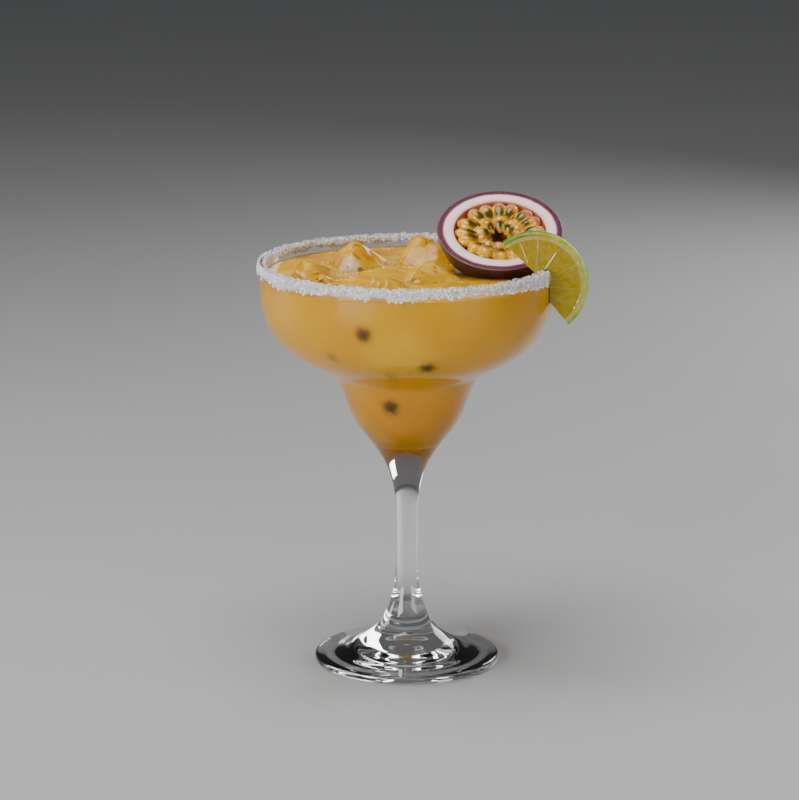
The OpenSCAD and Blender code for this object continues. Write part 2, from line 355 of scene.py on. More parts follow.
def foot_hollow(steps=70):
    t = np.linspace(0, 1, steps + 1)
    wave = (1 - np.cos(2 * np.pi * 4 * t)) / 2
    return np.stack(((FOOT_R - 4.7) * (1 - t), 1.5 * np.sin(np.pi / 2 * t) + 0.22 * wave), 1)


def bowl_inside(gap):
    """The glass's inner face, moved by gap towards the drink (minus: into the wall)."""
    out = bowl_outside()
    along = np.gradient(out, axis=0)
    along /= np.linalg.norm(along, axis=1)[:, None]
    across = np.stack((along[:, 1], -along[:, 0]), 1)
    down = np.clip((BAND_Z - out[:, 1]) / (BAND_Z - CUP_Z), 0, 1)
    thick = RIM_WALL + (CUP_WALL - RIM_WALL) * down
    side = out + across * (thick + gap)[:, None]
    floor = span(side[-1], -124, (0, CUP_Z - CUP_FLOOR + gap), -180, (0.32, 0.5), 22)
    return np.vstack((side, floor))


def lip():
    half = RIM_WALL / 2
    return arc_points((RIM_R - half, GLASS_H - half), (half, half), 180, 0, 13)[1:-1]


# ---- turned pieces
def new_tree(name, inputs):
    """An empty Geometry Nodes tree, and the sockets of its named inputs."""
    tree = bpy.data.node_groups.new(name, "GeometryNodeTree")
    for label, kind in inputs.items():
        tree.interface.new_socket(label, in_out="INPUT", socket_type="NodeSocket" + kind)
    tree.interface.new_socket("Geometry", in_out="OUTPUT", socket_type="NodeSocketGeometry")
    return tree, put(tree, "NodeGroupInput").outputs


def end_tree(tree, shape, material):
    """Ends a tree with its shape made real and given its material."""
    real = put(tree, "GeometryNodeRealizeInstances", Geometry=shape.outputs[0])
    done = put(tree, "GeometryNodeSetMaterial", Geometry=real.outputs[0], Material=material)
    put(tree, "NodeGroupOutput", i0=done.outputs[0])
    return tree


def turning_tree():
    """Geometry Nodes that turn a profile round the upright axis."""
    tree, given = new_tree("turned piece", {"Profile": "Object", "Points along": "Int",
                                            "Sides around": "Int", "Material": "Material"})
    profile = put(tree, "GeometryNodeObjectInfo", Object=given["Profile"]).outputs["Geometry"]
    columns = calc("ADD", given["Sides around"], 1)
    sheet = put(tree, "GeometryNodeMeshGrid", Size_X=1.0, Size_Y=1.0, Vertices_X=columns,
                Vertices_Y=given["Points along"])
    position = put(tree, "GeometryNodeInputPosition").outputs[0]
    across, along, _ = parts(position)
    turn = times(calc("ADD", across, 0.5), 2 * math.pi)
    last = calc("SUBTRACT", given["Points along"], 1)
    row = calc("ROUND", times(calc("ADD", along, 0.5), last))
    spot = put(tree, "GeometryNodeSampleIndex", {"data_type": "FLOAT_VECTOR", "domain": "POINT"},
               Geometry=profile, Value=position, Index=row)
    radius, _, height = parts(spot.outputs[0])
    about = put(tree, "ShaderNodeCombineXYZ", X=times(radius, calc("COSINE", turn)),
                Y=times(radius, calc("SINE", turn)), Z=height)
    bent = put(tree, "GeometryNodeSetPosition", Geometry=sheet.outputs[0],
               Position=about.outputs[0])
    closed = put(tree, "GeometryNodeMergeByDistance", Geometry=bent.outputs[0], Distance=2e-6)
    soft = put(tree, "GeometryNodeSetShadeSmooth", Geometry=closed.outputs[0])
    return end_tree(tree, soft, given["Material"])


def shaped_by(tree, made, values):
    """Runs Geometry Nodes on a piece, its inputs set by their identifiers."""
    modifier = made.modifiers.new(tree.name, "NODES")
    modifier.node_group = tree
    for item in tree.interface.items_tree:
        if item.item_type == "SOCKET" and item.in_out == "INPUT" and item.name in values:
            modifier[item.identifier] = values[item.name]
    settled(made)


TURNING = turning_tree()


def turned(name, profile, material, sides=144, placed=None):
    """A piece turned from a profile of (radius, height) points in mm."""
    line = mesh_of(name + " profile", [(max(r, 0), 0, z) for r, z in profile], [])
    guide = show(line.name, line)
    made = show(name, bpy.data.meshes.new(name))
    shaped_by(TURNING, made, {"Profile": guide, "Points along": len(profile),
                              "Sides around": sides, "Material": material})
    bpy.data.objects.remove(guide)
    wear(made.data, material)
    outward(made.data)
    if placed is not None:
        move(made.data, placed)
    return made


def wear(mesh, *finishes):
    """Leaves just these materials on a mesh, all faces wearing the first."""
    mesh.materials.clear()
    for finish in finishes:
        mesh.materials.append(finish)
    mesh.polygons.foreach_set("material_index", [0] * len(mesh.polygons))


def outward(mesh):
    """Turns a closed mesh's faces outwards, by the sign of its volume."""
    mesh.calc_loop_triangles()
    p = points_of(mesh)
    tri = np.empty(len(mesh.loop_triangles) * 3, int)
    mesh.loop_triangles.foreach_get("vertices", tri)
    a, b, c = (p[tri.reshape(-1, 3)[:, k]] for k in range(3))
    if np.einsum("ij,ij->i", a, np.cross(b, c)).sum() < 0:
        mesh.flip_normals()
    mesh.update()


# ---- the glass
def clear_glass():
    feed, where = finish_of(
        "clear glass", Base_Color=(1, 1, 1, 1), Roughness=0.0, IOR=1.49, Transmission_Weight=1.0)
    return feed(Normal=relief(noise(where, 90, 1.0), 0.0004, 0.08))


def make_glass():
    profile = np.vstack((bowl_outside(), stem_and_foot(), foot_hollow(),
                         bowl_inside(0)[::-1], lip()))
    profile = np.vstack((profile, profile[:1]))
    made = turned("glass_body", profile, clear_glass())
    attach(made, root)
    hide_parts("glass")


# ---- the drink
TOP_BAND, WALL_BAND = 0.4, 1.2  # faces this near the top or the wall take its finish
ICE_REACH = 30  # no ice is this far under the surface
SEED_RISE = 0.6  # how much a seed is raised for each mm it is set in
# turn from the front in degrees, height in mm, length, tilt, depth in the drink
SUNK_SEEDS = [(-17, 147, 5.4, 20, 1.3), (9.5, 133.3, 5.6, -15, 1.3), (-15.5, 110.8, 5.4, 10, 1.3),
              (-34, 136, 4.6, 60, 2.4), (-8, 129.3, 4.4, -50, 2.4)]


def seed_blur_and_painted_shade(where):
    """1 close round each seed that shows through the side of the drink: a painted dark halo, the
    seed seen blurred through the drink with painted shade round it.
    """
    shift = put(where.id_data, "ShaderNodeTexNoise", Vector=where, Scale=420,
                Detail=2.0).outputs["Color"]
    shift = vector("SUBTRACT", shift, (0.5, 0.5, 0.5))[0]
    uneven = vector("ADD", where, vector("MULTIPLY", shift, (0.003,) * 3)[0])[0]
    total = None
    for turn, z, _, _, deep in SUNK_SEEDS:
        at = wall_spot(turn, z) * MM
        dark, reach = (0.45, 0.0046) if deep > 2 else (1.0, 0.0054)
        # painted halo: darkest at the seed, fading out, for the seed blurred through the drink and
        # painted shade round it
        shade = around(uneven, at, reach, [(0.15, 0.95 * dark), (0.38, 0.78 * dark),
                                           (0.62, 0.3 * dark), (1.0, 0.0)])
        total = shade if total is None else calc("MAXIMUM", total, shade)
    return total


def cloudy_colour(where):
    """Golden at the top, deeper orange towards the cup, with drifting pulp."""
    share = share_from(parts(where)[2], 0.092, 0.160)
    base = ramp(share, [(0.0, (0.44, 0.18, 0.0)), (0.16, (0.70, 0.315, 0.0)),
                        (0.45, (0.81, 0.405, 0.0)), (0.75, (0.83, 0.45, 0.0)),
                        (1.0, (0.85, 0.48, 0.0))])
    drift = noise(where, 26, 3.0, 0.5, 0.6)
    base = blend(grey(drift, [(0.42, 0.0), (0.72, 0.5)]), base, (0.91, 0.54, 0.0))
    return blend(grey(drift, [(0.22, 0.4), (0.45, 0.0)]), base, (0.72, 0.33, 0.0))


def drink_body():
    feed, where = finish_of(
        "cloudy drink", (0.3, 0.005, (1.0, 0.6, 0.1)), Roughness=1.0, Specular_IOR_Level=0.0)
    base = cloudy_colour(where)
    sunken_ice = around(where, (-0.003, -0.053, 0.138), 0.017, [(0.4, 0.6), (1.0, 0.0)])
    base = blend(sunken_ice, base, (0.94, 0.605, 0.01))
    # painted shade: the drink darkens to near black round each sunk seed
    return feed(Base_Color=blend(seed_blur_and_painted_shade(where), base, (0.055, 0.032, 0.0)))


def drink_top():
    feed, where = finish_of("drink surface", (0.5, 0.004, (1.0, 0.6, 0.1)), IOR=1.34)
    swirl = noise(where, 42, 3.0, 0.5, 0.6)
    base = ramp(swirl, [(0.3, (0.66, 0.29, 0.0)), (0.5, (0.78, 0.39, 0.0)),
                        (0.68, (0.88, 0.50, 0.0))])
    foam = cells(where, 900)
    patch = grey(noise(where, 70, 3.0), [(0.58, 0.0), (0.68, 0.7)])
    fleck = times(patch, grey(foam, [(0.25, 1.0), (0.45, 0.15)]))
    return feed(Base_Color=blend(fleck, base, (0.98, 0.80, 0.40)),
                Roughness=grey(fleck, [(0.0, 0.07), (1.0, 0.4)]),
                Normal=relief(fleck, 0.0003, 0.6, relief(noise(where, 70, 2.0), 0.0012, 0.35)))


def drink_under_ice():
    feed, where = finish_of("drink under ice", Roughness=0.9, Specular_IOR_Level=0.1)
    pulp = noise(where, 160, 3.0, 0.6, 0.8)
    return feed(Base_Color=ramp(pulp, [(0.36, (0.42, 0.18, 0.0)), (0.5, (0.85, 0.45, 0.0)),
                                       (0.7, (0.96, 0.62, 0.04))]))


def make_drink(ice):
    """Fills the bowl to just inside the wall, with a raised edge at the glass."""
    side = bowl_inside(-WALL_SINK)
    side = side[side[:, 1] < DRINK_Z]
    edge, low = side[0][0], DRINK_Z - SURFACE_DROP
    rise = [(edge - s, low + 0.7 * math.exp(-s / 1.1)) for s in (0, 0.3, 0.7, 1.2, 1.9, 3, 4.5)]
    top = [(r, low) for r in np.linspace(edge - 6.5, 0, 30)]
    profile = np.vstack((top[::-1], rise[::-1], side))
    made = turned("drink_body", profile, drink_body(), 160)
    mesh = made.data
    p = points_of(mesh)
    r = np.hypot(p[:, 0], p[:, 1]) / MM
    flat = (p[:, 2] > (low - 0.01) * MM) & (r < edge - 2)
    p[flat, 2] += 0.2 * MM * lumps(p[flat] / MM, 7)
    set_points(mesh, p)
    for cube in ice:
        hollow_for(made, cube, ICE_SINK)
    mesh = made.data
    wear(mesh, mesh.materials[0], drink_top(), drink_under_ice())
    side = side[np.argsort(side[:, 1])]
    for face in mesh.polygons:
        r, z = face.center.xy.length / MM, face.center.z / MM
        on_top = z > low - TOP_BAND and face.normal.z > 0.5
        on_wall = z < low - ICE_REACH or r > np.interp(z, side[:, 1], side[:, 0]) - WALL_BAND
        face.material_index = 1 if on_top else 0 if on_wall else 2
    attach(made, root)
    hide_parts("drink")


def hollow_for(made, solid, sunk):
    """Cuts the space of a solid, drawn in a little, out of a piece."""
    cutter = show("cutter", solid.data.copy())
    mesh = cutter.data
    p, n = points_of(mesh), np.empty(len(mesh.vertices) * 3)
    mesh.vertex_normals.foreach_get("vector", n)
    set_points(mesh, p - n.reshape(-1, 3) * sunk * MM)
    cut_out(made, cutter)


def seed_skin():
    feed, where = finish_of("dark seed", Roughness=0.8, Specular_IOR_Level=0.1)
    pits = cells(where, 1600)
    return feed(Base_Color=ramp(pits, [(0.1, (0.014, 0.009, 0.001)), (0.7, (0.05, 0.028, 0.002))]),
                Normal=relief(pits, 0.0002, 0.5))


def seed_shape(long, wide, thick, rows=9, cols=14):
    """Points and faces of one flat seed, pointed at one end."""
    points, share = [], np.linspace(0, 1, rows)
    for s in share:
        girth = math.sin(math.pi * s) ** 0.7 * (1 - 0.25 * s) if 0 < s < 1 else 0
        for k in range(cols):
            a = 2 * math.pi * k / cols
            points.append((long * (s - 0.5), wide / 2 * girth * math.cos(a),
                           thick / 2 * girth * math.sin(a)))
    return np.array(points), band_faces(rows, cols)


def wall_spot(turn, z):
    """Point on the wall's inner face at a turn (degrees from the front) and height."""
    side = bowl_inside(0)
    side = side[np.argsort(side[:, 1])]
    r = np.interp(z, side[:, 1], side[:, 0])
    a = math.radians(turn)
    return Vector((r * math.sin(a), -r * math.cos(a), z))


def make_sunk_seeds():
    points, faces = [], []
    for turn, z, long, tilt, deep in SUNK_SEEDS:
        at, a = wall_spot(turn, z), math.radians(turn)
        shape, sides = seed_shape(long, long * 0.72, long * 0.5)
        set_in = Matrix.Translation(at + deep * Vector((-math.sin(a), math.cos(a), SEED_RISE)))
        whole = set_in @ turn_by(turn, "Z") @ turn_by(90, "X") @ turn_by(tilt, "Z")
        start = len(points)
        points += [tuple(whole @ Vector(v)) for v in shape]
        faces += [tuple(start + k for k in f) for f in sides]
    made = piece_from("drink_seeds", points, faces, seed_skin())
    outward(made.data)
    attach(made, root)


# ---- the ice
ICE_GRAIN = 0.6  # the voxel that a cube's corners melt in


def melting_ice():
    """Clear and cloudy ice, tinted by the drink, with brown flecks of pulp, and a pale patch of
    frost and painted highlight on the first cube.
    """
    feed, where = finish_of(
        "melting ice", (0.6, 0.004, (1.0, 0.7, 0.3)), IOR=1.31, Transmission_Weight=0.35,
        Coat_Weight=0.1, Coat_Roughness=0.05)
    cloud = noise(where, 130, 4.0, 0.6, 0.5)
    base = ramp(cloud, [(0.32, (0.68, 0.31, 0.0)), (0.5, (0.86, 0.47, 0.005)),
                        (0.66, (0.97, 0.66, 0.12))])
    # pale patch: frost, and a painted highlight on the corner that faces the front right
    frost_and_highlight = times(around(where, frost_and_highlight_spot(), 0.007, [(0.5, 1.0), (0.9, 0.0)]),
                  grey(cells(where, 700), [(0.1, 1.0), (0.5, 0.45)]))
    base = blend(frost_and_highlight, base, (1.0, 0.90, 0.76))
    flecks = times(grey(noise(where, 300, 3.0, 0.6), [(0.56, 0.0), (0.63, 0.8)]),
                   grey(noise(where, 80, 1.0), [(0.44, 0.0), (0.54, 1.0)]))
    return feed(Base_Color=blend(flecks, base, (0.16, 0.07, 0.004)),
                Roughness=grey(cloud, [(0.4, 0.04), (0.7, 0.32)]),
                Normal=relief(noise(where, 420, 3.0), 0.0004, 0.35,
                              relief(noise(where, 110, 2.0), 0.0012, 0.6)))


def frost_and_highlight_spot():
    """Where the first cube gets its pale patch of frost and painted highlight: the corner at its
    front right, up.
    """
    p = points_of(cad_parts["ice_1"].data)
    high = p[p[:, 2] > DRINK_Z * MM]
    corner = high[np.argmax(high @ np.array((0.8, -1.0, 0.3)))]
    return Vector(corner) + Vector((-0.002, 0.001, 0.0))


def make_ice():
    """Each cube keeps its place; its corners melt into one smooth uneven skin."""
    finish, cubes = melting_ice(), []
    for k in range(1, 6):
        node = f"ice_{k}"
        made = show(f"ice_lump_{k}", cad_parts[node].data.copy())
        made.modifiers.new("join", "WELD").merge_threshold = 2e-5
        melt(made, finish, ICE_GRAIN, 0.6, 10)
        mesh = made.data
        p = points_of(mesh) / MM
        middle = p.mean(axis=0)
        out = (p - middle) / np.linalg.norm(p - middle, axis=1)[:, None]
        p += out * (0.3 * lumps(p, 8, k) + 0.12 * lumps(p, 2.6, 3 * k))[:, None]
        set_points(mesh, p * MM)
        outward(mesh)
        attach(made, root)
        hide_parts(node)
        cubes.append(made)
    return cubes


# ---- the salt
def salt_finish(name, clear):
    feed, where = finish_of(
        name, (0.25, 0.0006, (1.0, 1.0, 1.0)), IOR=1.54, Transmission_Weight=clear)
    grain = cells(where, 1500)
    return feed(Base_Color=ramp(grain, [(0.0, (1.0, 1.0, 1.0)), (0.6, (0.93, 0.93, 0.95))]),
                Roughness=grey(grain, [(0.1, 0.12), (0.6, 0.4)]),
                Normal=relief(grain, 0.0003, 0.5))


SALT_FROM = math.asin((LIME_Y + LIME_T / 2 + SALT_CLEAR) / (RIM_R + SALT_PROUD))
SALT_TO = math.asin((LIME_Y - LIME_T / 2 - SALT_CLEAR) / (RIM_R - RIM_WALL - SALT_PROUD))
SALT_SWEEP = 2 * math.pi - (SALT_FROM - SALT_TO)
CRUST_STEPS, GROUND_STEPS = 1300, 700
GRAINS_PER_M2, GRAIN_SIZES = 2.1e6, (0.3, 0.9)


def ragged(turn, k):
    """Uneven lower edge of the salt, with coarse teeth on long waves."""
    at = round_axis(RIM_R, 9 * k + 0 * turn, turn)
    return (0.45 * np.sin(7 * turn + 0.7 * k) + 0.35 * np.sin(19 * turn)
            + 0.45 * lumps(at, 2.6, k) + 0.4 * lumps(at, 1.2, 5 + k))


def salt_edges(turn):
    """How far the salt reaches down the outside and the inside of the lip, mm."""
    away = np.degrees((SALT_TO - turn) % (2 * math.pi))
    out = 3.3 + 2.3 * np.exp(-(away / 14) ** 2) + 0.6 * np.sin(turn / 2) ** 4
    return out + ragged(turn, 0), 1.9 + 0.55 * ragged(turn, 1)


def over_lip(drop, inside):
    """Points and outward directions on the glass, from drop under the lip up
    over its rounded top, for one side; each a row of (radius, height) pairs."""
    half = RIM_WALL / 2
    side = np.linspace(0, 1, 13)[:, None]
    arc = np.radians(np.linspace(10, 54, 5))
    z = GLASS_H - drop[None, :] + side * (drop[None, :] - half)
    over_r, over_z = (f(arc)[:, None] + 0 * drop for f in (np.cos, np.sin))
    out_r, out_z = np.vstack((0 * z + 1, over_r)), np.vstack((0 * z, over_z))
    r = np.vstack((0 * z + RIM_R, RIM_R - half + half * over_r))
    z = np.vstack((z, GLASS_H - half + half * over_z))
    if inside:
        r, out_r = 2 * (RIM_R - half) - r, -out_r
    return r, z, out_r, out_z


def grown(points, spacing, seed):
    """Heights from 0 to about 1 of packed crystals: flat facets, each tilted."""
    draw = np.random.default_rng(seed)
    count = int(len(points) * min(1.0, 0.085 / spacing ** 2))
    middles = points[draw.choice(len(points), count, replace=False)]
    near = nearest(middles, points)
    tilt = draw.uniform(-0.75, 0.75, (count, 3))
    height = draw.uniform(0.1, 1.0, count) ** 1.2
    rise = height[near] + ((points - middles[near]) * tilt[near]).sum(1) / spacing
    return np.clip(rise, 0.0, 1.35)


def salt_strip(name, inside, finish):
    """Crust on one side of the lip: packed crystals, ragged at its edges."""
    steps = CRUST_STEPS
    turn = SALT_FROM + SALT_SWEEP * np.linspace(0, 1, steps)
    drop = salt_edges(turn)[1 if inside else 0]
    r, z, out_r, out_z = over_lip(drop, inside)
    rows = len(r)
    share = np.linspace(0, 1, rows)[:, None]
    ends = np.clip(np.minimum(np.arange(steps), steps - 1 - np.arange(steps)) / 6, 0.1, 1)
    taper = (4 * share * (1 - 0.8 * share) + 0.1) ** 0.8 * ends
    flat = round_axis(r, z, turn).reshape(-1, 3)
    thick = taper * (0.1 + 0.5 * grown(flat, 0.8, 5 + inside)
                     + 0.14 * lumps(flat, 1.7, 3)).reshape(taper.shape)
    thick = np.maximum(thick, 0.03)
    crest = 0.75 * np.clip((share - 0.62) / 0.3, 0, 1) * (thick > 0.2) * ends
    reach = 0.05 + thick
    outer = round_axis(r + out_r * reach, z + out_z * reach + crest * thick, turn)
    inner = round_axis(r + out_r * 0.02, z + out_z * 0.02, turn)
    ring = np.concatenate((outer, inner[::-1]))
    grid = ring.transpose(1, 0, 2).reshape(-1, 3)
    cols = 2 * rows
    faces = band_faces(steps, cols)
    faces += [tuple(range(cols)), tuple((steps - 1) * cols + k for k in reversed(range(cols)))]
    made = piece_from(name, grid, faces, finish, smooth=False)
    outward(made.data)
    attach(made, root)
    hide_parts("salt_rim")


def ground(name, points, faces, sown):
    """A surface to strew things on, as thickly as sown says at each point."""
    mesh = mesh_of(name, points.reshape(-1, 3), faces)
    give(mesh, "sown", sown.ravel())
    return mesh


def sowing_ground():
    """Open band over the lip that the loose crystals are strewn on."""
    steps = GROUND_STEPS
    turn = SALT_FROM + SALT_SWEEP * np.linspace(0.001, 0.999, steps)
    out, into = salt_edges(turn)
    ro, zo, no_r, no_z = over_lip(out + 0.35, False)
    ri, zi, ni_r, ni_z = over_lip(into + 0.2, True)
    lift = 0.36
    r = np.concatenate((ro + no_r * lift, (ri + ni_r * lift)[::-1]))
    z = np.concatenate((zo + no_z * lift, (zi + ni_z * lift)[::-1]))
    points = round_axis(r, z, turn)
    rows = len(r)
    half = rows // 2
    patchy = lumps(points.reshape(-1, 3), 4, 2).reshape(rows, steps)
    sown = np.clip(0.6 + 0.6 * patchy, 0.15, 1)
    sown[:8] *= 0.6
    sown[half - 5:half + 5] = 0.9
    sown[half - 2:half + 2] = 0.02
    near = (SALT_TO - turn) % (2 * math.pi)
    sown[:half] *= 1 + 0.8 * np.exp(-(near / 0.4) ** 2)
    return ground("sowing ground", points, band_faces(rows, steps, False), sown)


def make_salt():
    packed = salt_finish("packed salt", 0.6)
    salt_strip("salt_crust_outside", False, packed)
    salt_strip("salt_crust_inside", True, packed)
    grains = strewn("salt_grains", sowing_ground(), crystal(), salt_finish("loose salt", 0.15),
                    GRAINS_PER_M2, *GRAIN_SIZES)
    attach(grains, root)
    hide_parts("salt_rim")


def crystal():
    """One uneven salt crystal, 1 mm across, to be shrunk where it is used."""
    corners = np.array([(x, y, z) for x in (-0.5, 0.5) for y in (-0.5, 0.5) for z in (-0.5, 0.5)])
    corners *= 1 + 0.35 * np.random.default_rng(3).uniform(-1, 1, corners.shape)
    faces = [(0, 1, 3, 2), (4, 6, 7, 5), (0, 4, 5, 1), (2, 3, 7, 6), (0, 2, 6, 4), (1, 5, 7, 3)]
    mesh = mesh_of("crystal", corners, faces)
    outward(mesh)
    return show("crystal", mesh)


def strewing_tree():
    """Geometry Nodes that strew a small shape over a surface."""
    tree, given = new_tree("strewn grains", {
        "Geometry": "Geometry", "Shape": "Object", "Per square metre": "Float",
        "Smallest": "Float", "Largest": "Float", "Seed": "Int", "Material": "Material"})
    sown = put(tree, "GeometryNodeInputNamedAttribute", {"data_type": "FLOAT"}, Name="sown")
    spots = put(tree, "GeometryNodeDistributePointsOnFaces", Mesh=given["Geometry"],
                Density=times(sown.outputs[0], given["Per square metre"]),
                Seed=given["Seed"])
    shape = put(tree, "GeometryNodeObjectInfo", Object=given["Shape"])
    turn = put(tree, "FunctionNodeRandomValue", {"data_type": "FLOAT_VECTOR"},
               i0=(0, 0, 0), i1=(6.28, 6.28, 6.28), Seed=given["Seed"])
    size = put(tree, "FunctionNodeRandomValue", {"data_type": "FLOAT"}, i2=given["Smallest"],
               i3=given["Largest"], Seed=given["Seed"])
    copies = put(tree, "GeometryNodeInstanceOnPoints", Points=spots.outputs[0],
                 Instance=shape.outputs["Geometry"], Rotation=turn.outputs[0],
                 Scale=size.outputs[1])
    return end_tree(tree, copies, given["Material"])


STREWING = strewing_tree()


def strewn(name, surface, shape, finish, dense, smallest, largest):
    """A piece of many small shapes on a surface, at up to dense per square metre."""
    made = show(name, surface)
    shaped_by(STREWING, made, {"Shape": shape, "Per square metre": dense, "Smallest": smallest,
                               "Largest": largest, "Seed": 4, "Material": finish})
    wear(made.data, finish)
    bpy.data.objects.remove(shape)
    return made


BUBBLES_PER_M2, BUBBLE_SIZES = 1.6e6, (0.35, 1.25)


def bubble():
    """One round bubble, 1 mm across, to be shrunk where it is used."""
    rows, cols = 6, 8
    rise, turn = np.meshgrid(np.linspace(0, math.pi, rows),
                             np.linspace(0, 2 * math.pi, cols, endpoint=False), indexing="ij")
    points = round_axis(0.5 * np.sin(rise), -0.5 * np.cos(rise), turn).reshape(-1, 3)
    made = piece_from("bubble", points, band_faces(rows, cols), froth_finish())
    made.modifiers.new("close", "WELD").merge_threshold = 1e-6
    settled(made)
    outward(made.data)
    return made


def froth_finish():
    feed, where = finish_of("froth", IOR=1.33, Transmission_Weight=0.35, Coat_Weight=0.5)
    tone = noise(where, 200, 2.0)
    return feed(Base_Color=ramp(tone, [(0.35, (0.93, 0.58, 0.05)), (0.65, (0.99, 0.84, 0.46))]),
                Roughness=grey(tone, [(0.3, 0.08), (0.7, 0.25)]))


def gap_to(mesh, points):
    """Distance in mm from points to a closed mesh, minus inside it."""
    tree = BVHTree.FromPolygons([v.co for v in mesh.vertices],
                                [f.vertices for f in mesh.polygons])
    gaps = []
    for at in points:
        spot, normal, _, far = tree.find_nearest(Vector(at) * MM)
        gaps.append(far / MM if (Vector(at) * MM - spot).dot(normal) > 0 else -1.0)
    return np.array(gaps)


def make_froth(ice):
    """Small bubbles that gather at the ice and round the edge of the drink."""
    rows, cols, edge = 56, 180, RIM_R - RIM_WALL - 0.6
    r, turn = np.meshgrid(np.linspace(2, edge, rows),
                          np.linspace(0, 2 * math.pi, cols, endpoint=False), indexing="ij")
    flat = round_axis(r, np.full(r.shape, DRINK_Z - 0.55), turn).reshape(-1, 3)
    near = np.min([gap_to(cube.data, flat) for cube in ice], axis=0)
    clear = np.min([gap_to(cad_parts[name].data, flat)
                    for name in ("passion_shell", "lime_slice")], axis=0)
    sown = np.exp(-near) + 0.9 * np.exp(-(edge - r.ravel()) / 0.8)
    sown *= np.clip(0.35 + 0.9 * lumps(flat, 9, 4), 0, 1)
    sown += 0.05 * (lumps(flat, 14, 8) > 0.35)
    sown[(near < 0.2) | (clear < 0.8)] = 0
    surface = ground("froth ground", flat, band_faces(rows, cols), np.clip(sown, 0, 1))
    made = strewn("froth_bubbles", surface, bubble(), froth_finish(), BUBBLES_PER_M2,
                  *BUBBLE_SIZES)
    made.data.shade_smooth()
    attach(made, root)


# ---- the passion fruit
# the cut's colours, from the cavity (below 0) through the pith to the skin (1)
FRUIT_LAYERS = ((-0.9, (0.40, 0.14, 0.02)), (-0.3, (0.42, 0.17, 0.07)),
                (-0.02, (0.60, 0.24, 0.19)), (0.08, (0.82, 0.52, 0.47)),
                (0.3, (0.88, 0.74, 0.70)), (0.58, (0.86, 0.66, 0.66)),
                (0.63, (0.45, 0.12, 0.19)), (0.70, (0.12, 0.014, 0.042)),
                (0.93, (0.06, 0.008, 0.020)), (0.965, (0.19, 0.14, 0.14)),
                (1.0, (0.04, 0.012, 0.012)))


def fruit_flesh():
    """Skin, magenta band and pale pith, by layer from the cavity to the skin."""
    feed, where = finish_of(
        "passion fruit rind", (0.1, 0.0005, (1.0, 0.6, 0.5)), Specular_IOR_Level=0.3)
    wobble = times(calc("SUBTRACT", noise(where, 240, 3.0), 0.5), 0.08)
    layer = calc("ADD", own(where, "layer"), wobble)
    share = share_from(layer, -1.0, 2.0)
    cut = ramp(share, [((v + 1) / 3, colour) for v, colour in FRUIT_LAYERS])
    spots = grey(cells(where, 900), [(0.10, 1.0), (0.2, 0.0)])
    band = grey(share, [((v + 1) / 3, much) for v, much in ((0.68, 0.0), (0.76, 0.55),
                                                            (0.94, 0.55), (0.97, 0.0))])
    cut = blend(times(band, spots), cut, (0.58, 0.25, 0.33))
    outside = calc("GREATER_THAN", layer, 1.1)
    patchy = ramp(noise(where, 160, 4.0), [(0.35, (0.018, 0.006, 0.006)),
                                           (0.7, (0.060, 0.018, 0.015))])
    patchy = blend(times(spots, 0.45), patchy, (0.28, 0.14, 0.11))
    fuzz = relief(noise(where, 1500, 3.0), 0.0003, 0.3)
    return feed(Base_Color=blend(outside, cut, patchy),
                Roughness=blend(outside, (0.5, 0.5, 0.5), (0.28, 0.28, 0.28)),
                Normal=relief(noise(where, 330, 3.0), 0.0005, 0.35, fuzz))


def make_fruit_shell():
    edge = 0.7
    profile = np.vstack((
        np.stack((np.linspace(CAVITY_R + 0.4, SHELL_R - edge, 26), np.zeros(26)), 1),
        arc_points((SHELL_R - edge, -edge), (edge, edge), 90, 0, 6)[1:],
        [(SHELL_R, -1.1)],
        arc_points((0, 0), (SHELL_R, -SHELL_DEPTH), 2, 90, 46)[1:],
        arc_points((0, 0), (CAVITY_R, -CAVITY_DEPTH), 90, 1, 34),
        [(CAVITY_R, -0.35), (CAVITY_R + 0.1, -0.1), (CAVITY_R + 0.4, 0)]))
    made = turned("passion_rind", profile, fruit_flesh(), 150)
    notch_for_lip(made, FRUIT_ROOM, FRUIT_PLACE)
    mesh = made.data
    p = points_of(mesh) / MM
    r = np.hypot(p[:, 0], p[:, 1])
    reach = np.sqrt((r / SHELL_R) ** 2 + (p[:, 2] / SHELL_DEPTH) ** 2)
    face = p[:, 2] > -0.75
    layer = np.where(face, (r - CAVITY_R) / (SHELL_R - CAVITY_R), 1.5)
    layer = np.where(~face & (reach < 0.9), -0.3 + p[:, 2] / CAVITY_DEPTH * 0.6, layer)
    layer = np.where(face & (reach > 0.9985) & (p[:, 2] < -0.35), 1.2, layer)
    give(mesh, "layer", layer)
    out = p / np.linalg.norm(p, axis=1)[:, None]
    p += out * (0.16 * lumps(p, 9, 2) * (layer > 1.1))[:, None]
    p[:, 2] += 0.1 * lumps(p, 5, 4) * (face & (layer < 0.8))
    set_points(mesh, p * MM)
    move(mesh, FRUIT_PLACE)
    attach(made, root)
    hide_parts("passion_shell")


def notch_for_lip(made, room, placed):
    """Cuts the ring that the lip and the wall of the glass stand in, plus room,
    out of a piece that is still in its own frame."""
    out, inner = bowl_outside(), bowl_inside(room)
    out, inner = (line[line[:, 1] > NOTCH_FROM] for line in (out, inner))
    top = GLASS_H + room
    ring = np.vstack(([(inner[0][0], top), (RIM_R + room, top)], out + (room, 0), inner[::-1],
                      [(inner[0][0], top)]))
    cutter = turned("notch", ring, made.data.materials[0], 200)
    move(cutter.data, placed.inverted())
    cut_out(made, cutter)


